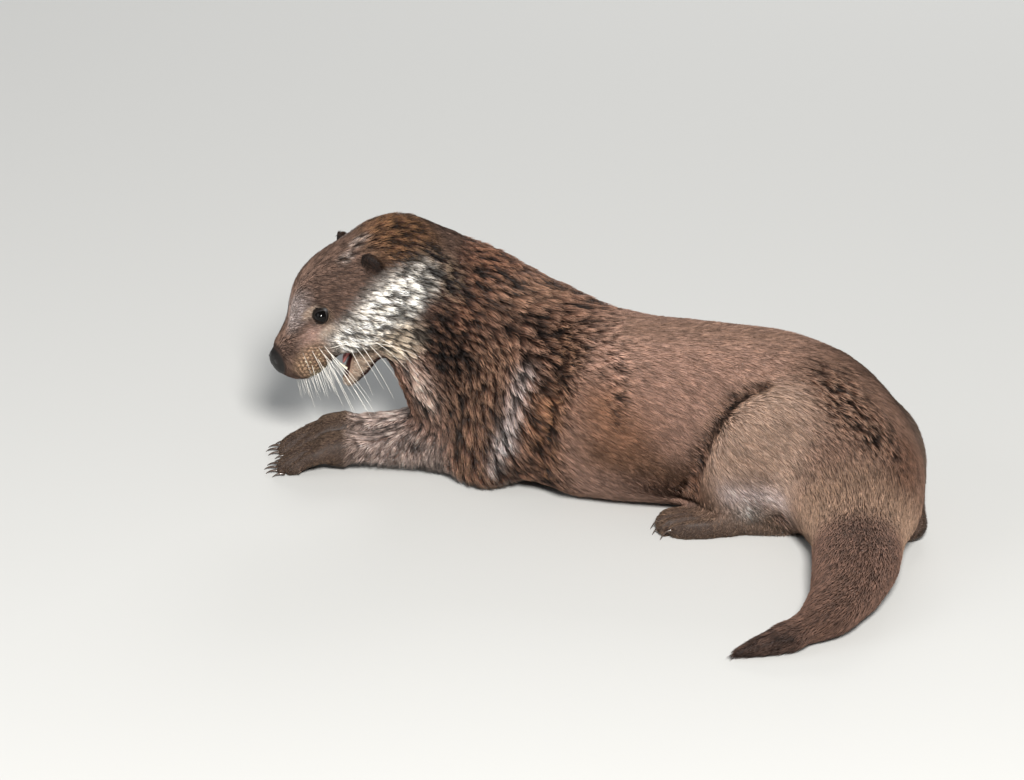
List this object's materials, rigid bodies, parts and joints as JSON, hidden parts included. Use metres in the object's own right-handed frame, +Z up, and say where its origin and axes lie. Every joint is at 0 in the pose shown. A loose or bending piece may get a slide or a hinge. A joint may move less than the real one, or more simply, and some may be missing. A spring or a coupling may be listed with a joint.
{
  "type": "eurasian otter model",
  "caption": "Life-size still model of a Eurasian otter lying on its belly, head turned and mouth a little open, forelegs forward, tail curled round on the floor.",
  "frame": {"origin": "middle of the overall box, on the floor", "axes": "+Z up; the head is towards -X; the animal's left side faces -Y"},
  "size_m": [0.514, 0.4984, 0.2092],
  "materials": {
    "coat": "short, dense brown fur lying flat, taupe in the light",
    "nape_coat": "reddish brown fur, spiky and darker at the roots",
    "cheek_coat": "cream cheek and chin fur under a grey-brown crown",
    "wet_coat": "short wet dark brown fur with a sheen",
    "tail_coat": "fine reddish brown fur along the tail",
    "tail_tip_coat": "dark brown fur",
    "ear_coat": "very short dark brown fur",
    "nose_skin": "moist, bare, almost black skin",
    "eye": "wet, glossy, almost black"
  },
  "bodies": {
    "root": {"loin": "coat", "rump": "coat", "upper_arm_left": "coat", "upper_arm_right": "coat", "hind_leg_left": "coat", "hind_leg_right": "coat", "neck": "nape_coat", "chest": "nape_coat", "head": "cheek_coat", "lower_jaw": "cheek_coat", "forearm_left": "wet_coat", "forearm_right": "wet_coat", "forepaw_left": "wet_coat", "forepaw_right": "wet_coat", "hind_foot_left": "wet_coat", "hind_foot_right": "wet_coat", "tail_root": "tail_coat", "tail_middle": "tail_coat", "tail_end": "tail_coat", "tail_tip": "tail_tip_coat", "ear_left": "ear_coat", "ear_right": "ear_coat", "nose": "nose_skin", "eye_left": "eye", "eye_right": "eye"}
  },
  "joints": []
}
